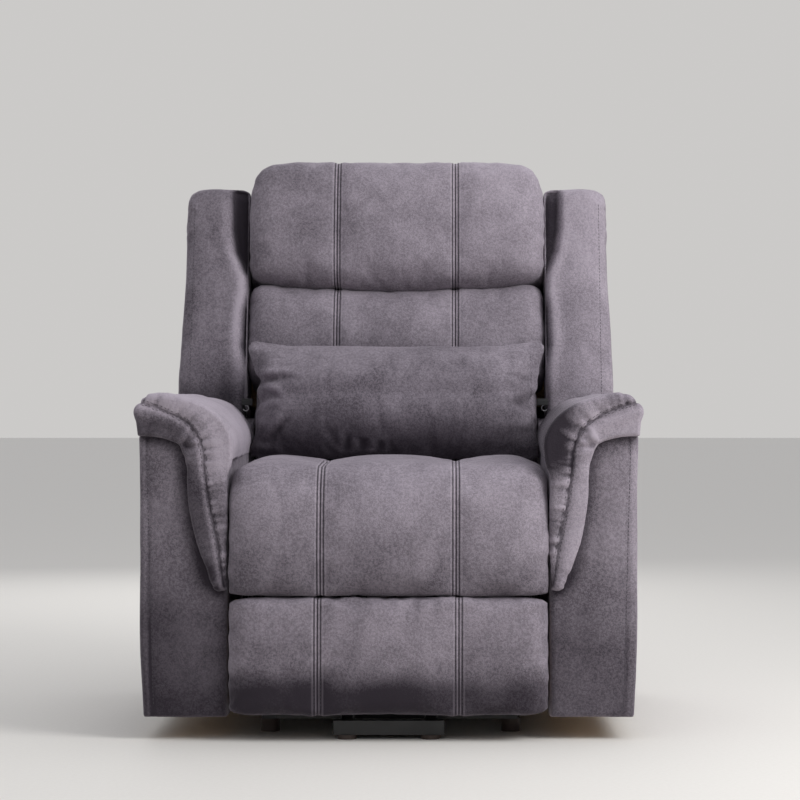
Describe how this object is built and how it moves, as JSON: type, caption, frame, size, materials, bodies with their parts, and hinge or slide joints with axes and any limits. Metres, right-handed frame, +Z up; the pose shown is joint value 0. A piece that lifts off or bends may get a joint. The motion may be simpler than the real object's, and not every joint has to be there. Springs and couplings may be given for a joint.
{
  "type": "lift recliner chair",
  "caption": "Padded armchair with a wing back, loose lumbar pillow, swing-up legrest, reclining back and a link base that tips it forward for standing up.",
  "frame": {"origin": "on the floor, under the middle of the chair's overall box at rest", "axes": "+Z up, the sitter faces -Y, +X is the sitter's left"},
  "size_m": [0.9006, 0.9306, 1.0828],
  "materials": {
    "upholstery": "suede microfibre, matt with a soft nap",
    "frame_wood": "raw board",
    "webbing": "woven elastic",
    "frame_steel": "satin powder coat",
    "bright_steel": "zinc plated",
    "drive_plastic": "textured",
    "handset_plastic": "fine texture",
    "rocker_plastic": "satin",
    "foot_rubber": "matt"
  },
  "bodies": {
    "base": {"base_frame": "frame_steel", "front_foot_bar": "frame_steel", "foot_pads": "foot_rubber", "rail_end_caps": "drive_plastic", "lift_base_pins": "bright_steel"},
    "front_links": {"lift_front_link_left": "frame_steel", "lift_front_link_right": "frame_steel"},
    "rear_links": {"lift_rear_link_left": "frame_steel", "lift_rear_link_right": "frame_steel", "lift_cross_tube": "frame_steel"},
    "lift_drive": {"lift_drive_body": "drive_plastic"},
    "lift_rod": {"lift_drive_rod": "bright_steel"},
    "chassis": {"chassis_plate_left": "frame_steel", "chassis_plate_right": "frame_steel", "chassis_tubes": "frame_steel", "chassis_pins": "bright_steel", "seat_boards": "frame_wood", "seat_webbing": "webbing", "rear_apron": "upholstery", "power_box": "drive_plastic", "arm_frame_left": "frame_wood", "arm_frame_right": "frame_wood", "arm_cover_left": "upholstery", "arm_cover_right": "upholstery", "arm_pad_left": "upholstery", "arm_pad_right": "upholstery", "handset_pouch": "upholstery", "handset_housing": "handset_plastic", "seat_cushion": "upholstery", "legrest_drive_body": "drive_plastic"},
    "front_arms": {"legrest_front_arm_left": "frame_steel", "legrest_front_arm_right": "frame_steel"},
    "rear_arms": {"legrest_rear_arm_left": "frame_steel", "legrest_rear_arm_right": "frame_steel", "legrest_torque_tube": "frame_steel"},
    "carriers": {"legrest_carrier_left": "frame_steel", "legrest_carrier_right": "frame_steel"},
    "panel": {"legrest_bracket_left": "frame_steel", "legrest_bracket_right": "frame_steel", "legrest_board": "frame_wood", "legrest_pad": "upholstery"},
    "control": {"legrest_control_links": "frame_steel"},
    "yoke": {"legrest_drive_yoke": "frame_steel"},
    "back": {"back_frame": "frame_wood", "back_webbing": "webbing", "back_hinge": "frame_steel", "back_cover": "upholstery", "head_cushion": "upholstery", "middle_cushion": "upholstery", "lower_cushion": "upholstery", "wing_left": "upholstery", "wing_right": "upholstery", "lumbar_pillow": "upholstery", "pillow_straps": "webbing"},
    "recline_drive": {"recline_drive_body": "drive_plastic"},
    "recline_rod": {"recline_drive_rod": "bright_steel"},
    "rocker_lift": {"handset_rocker_lift": "rocker_plastic"},
    "rocker_back": {"handset_rocker_back": "rocker_plastic"},
    "rocker_legs": {"handset_rocker_legs": "rocker_plastic"}
  },
  "joints": [
    {"name": "lift", "type": "hinge", "parent": "base", "child": "front_links", "pos_m": [0, -0.312, 0.056], "axis": [1, 0, 0], "range_deg": [0, 50]},
    {"name": "lift_chassis", "type": "hinge", "parent": "front_links", "child": "chassis", "pos_m": [0, -0.051, 0.079], "axis": [1, 0, 0], "range_deg": [-21.6, 0]},
    {"name": "lift_rear_links", "type": "hinge", "parent": "base", "child": "rear_links", "pos_m": [0, -0.278, 0.066], "axis": [1, 0, 0], "range_deg": [0, 41.9]},
    {"name": "lift_drive_swing", "type": "hinge", "parent": "base", "child": "lift_drive", "pos_m": [0, -0.318, 0.064], "axis": [1, 0, 0], "range_deg": [0, 42.2]},
    {"name": "lift_rod_slide", "type": "slide", "parent": "lift_drive", "child": "lift_rod", "axis": [0, 0.4997, 0.8662], "range_m": [0, 0.0736]},
    {"name": "legrest", "type": "hinge", "parent": "chassis", "child": "front_arms", "pos_m": [0, -0.345, 0.262], "axis": [-1, 0, 0], "range_deg": [0, 92]},
    {"name": "legrest_rear_arms", "type": "hinge", "parent": "chassis", "child": "rear_arms", "pos_m": [0, -0.285, 0.262], "axis": [-1, 0, 0], "range_deg": [0, 92.1]},
    {"name": "legrest_carriers", "type": "hinge", "parent": "front_arms", "child": "carriers", "pos_m": [0, -0.254, 0.079], "axis": [-1, 0, 0], "range_deg": [-92.1, 0]},
    {"name": "legrest_panel", "type": "hinge", "parent": "carriers", "child": "panel", "pos_m": [0, -0.372, 0.2], "axis": [-1, 0, 0], "range_deg": [0, 92.1]},
    {"name": "legrest_control", "type": "hinge", "parent": "panel", "child": "control", "pos_m": [0, -0.38841, 0.23866], "axis": [-1, 0, 0], "range_deg": [-92.1, 0]},
    {"name": "legrest_yoke", "type": "slide", "parent": "chassis", "child": "yoke", "axis": [0, -1, 0], "range_m": [0, 0.0577]},
    {"name": "recline", "type": "hinge", "parent": "chassis", "child": "back", "pos_m": [0, 0.19, 0.3], "axis": [-1, 0, 0], "range_deg": [0, 36]},
    {"name": "recline_drive_swing", "type": "hinge", "parent": "chassis", "child": "recline_drive", "pos_m": [0.08, -0.06, 0.24], "axis": [-1, 0, 0], "range_deg": [0, 3.6]},
    {"name": "recline_rod_slide", "type": "slide", "parent": "recline_drive", "child": "recline_rod", "axis": [0, 1, 0], "range_m": [-0.0425, 0]},
    {"name": "rocker_lift", "type": "hinge", "parent": "chassis", "child": "rocker_lift", "pos_m": [-0.428, -0.09, 0.4353], "axis": [0, 1, 0], "range_deg": [-6, 6], "stiffness_Nm_per_rad": 0.05},
    {"name": "rocker_back", "type": "hinge", "parent": "chassis", "child": "rocker_back", "pos_m": [-0.428, -0.09, 0.4213], "axis": [0, 1, 0], "range_deg": [-6, 6], "stiffness_Nm_per_rad": 0.05},
    {"name": "rocker_legs", "type": "hinge", "parent": "chassis", "child": "rocker_legs", "pos_m": [-0.428, -0.09, 0.4073], "axis": [0, 1, 0], "range_deg": [-6, 6], "stiffness_Nm_per_rad": 0.05}
  ],
  "couplings": [
    {"joint": "lift_chassis", "follows": "lift", "ratio": -0.43007},
    {"joint": "lift_rear_links", "follows": "lift", "ratio": 0.83597},
    {"joint": "lift_drive_swing", "follows": "lift", "ratio": 0.84097},
    {"joint": "lift_rod_slide", "follows": "lift", "m_per_rad": 0.084164},
    {"joint": "legrest_rear_arms", "follows": "legrest", "ratio": 1},
    {"joint": "legrest_carriers", "follows": "legrest", "ratio": -1},
    {"joint": "legrest_panel", "follows": "legrest", "ratio": 1},
    {"joint": "legrest_control", "follows": "legrest", "ratio": -1},
    {"joint": "legrest_yoke", "follows": "legrest", "m_per_rad": 0.035839},
    {"joint": "recline_drive_swing", "follows": "recline", "ratio": 0.096639},
    {"joint": "recline_rod_slide", "follows": "recline", "m_per_rad": -0.067195}
  ]
}
